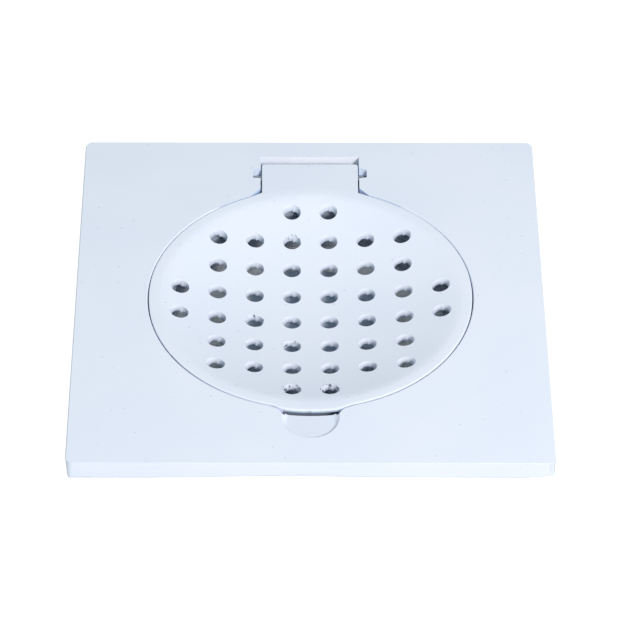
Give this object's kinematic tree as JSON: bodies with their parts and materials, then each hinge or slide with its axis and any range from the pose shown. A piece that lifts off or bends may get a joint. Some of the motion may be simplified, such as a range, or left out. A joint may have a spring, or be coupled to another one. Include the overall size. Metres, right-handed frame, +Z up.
{
  "type": "floor trap",
  "caption": "Square cast floor trap with a hinged, dished grating full of round drain holes, over a moulded bell trap with a spigot outlet.",
  "frame": {"origin": "centre of the outlet's lower end, on the surface that the trap stands on", "axes": "+Z up, square to the plate; +Y from the finger recess towards the hinge; +X to the right seen from the finger recess"},
  "size_m": [0.15, 0.15, 0.053],
  "materials": {
    "frame_coating": "semi-gloss stoved coating over a die-cast plate, with fine pits",
    "grating_coating": "semi-gloss stoved coating over a casting, rough at the holes",
    "pin_steel": "drawn steel rod",
    "body_plastic": "moulded natural plastic, satin, lets a little light through",
    "seal_rubber": "moulded, matt",
    "bell_plastic": "moulded, satin"
  },
  "bodies": {
    "floor_frame": {"frame": "frame_coating", "trap_body": "body_plastic", "seal_ring": "seal_rubber", "bell": "bell_plastic"},
    "lid": {"grating": "grating_coating", "hinge_pin": "pin_steel"}
  },
  "joints": [
    {"name": "lid_hinge", "type": "hinge", "parent": "floor_frame", "child": "lid", "pos_m": [0, 0.0594, 0.0496], "axis": [-1, 0, 0], "range_deg": [0, 130]}
  ]
}
